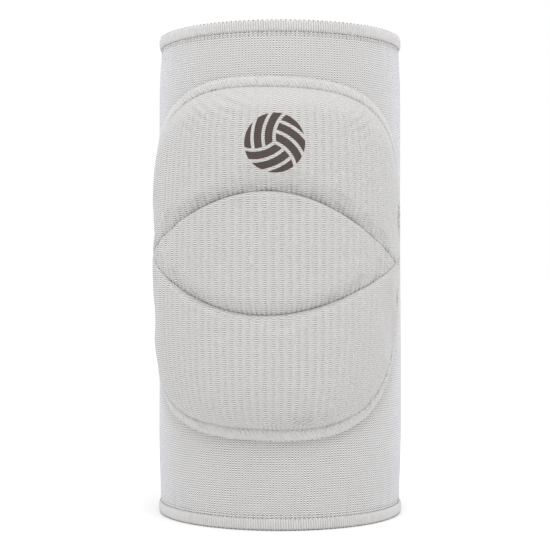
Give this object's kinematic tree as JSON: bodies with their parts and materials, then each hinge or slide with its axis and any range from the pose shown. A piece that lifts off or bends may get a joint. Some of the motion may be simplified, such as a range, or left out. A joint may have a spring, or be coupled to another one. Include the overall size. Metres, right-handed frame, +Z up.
{
  "type": "volleyball knee pad",
  "caption": "Knitted tubular knee sleeve with hemmed ends and a foam-padded front of upper, lens-shaped middle and lower panels.",
  "frame": {"origin": "under the middle of the whole, on the surface that the pad's lower hem stands on", "axes": "+Z up along the sleeve, -Y out of the padded front, +X to the viewer's right when the front is seen"},
  "size_m": [0.1212, 0.1328, 0.235],
  "materials": {
    "sleeve_knit": "matt off-white elastic purl knit",
    "pad_knit": "matt off-white ribbed knit over foam",
    "overlock_thread": "matt off-white overlock thread",
    "print_ink": "matt dark taupe print"
  },
  "bodies": {
    "root": {"sleeve": "sleeve_knit", "top_hem": "overlock_thread", "bottom_hem": "overlock_thread", "upper_pad": "pad_knit", "lens_pad": "pad_knit", "lower_pad": "pad_knit", "pad_border": "overlock_thread"}
  },
  "joints": []
}
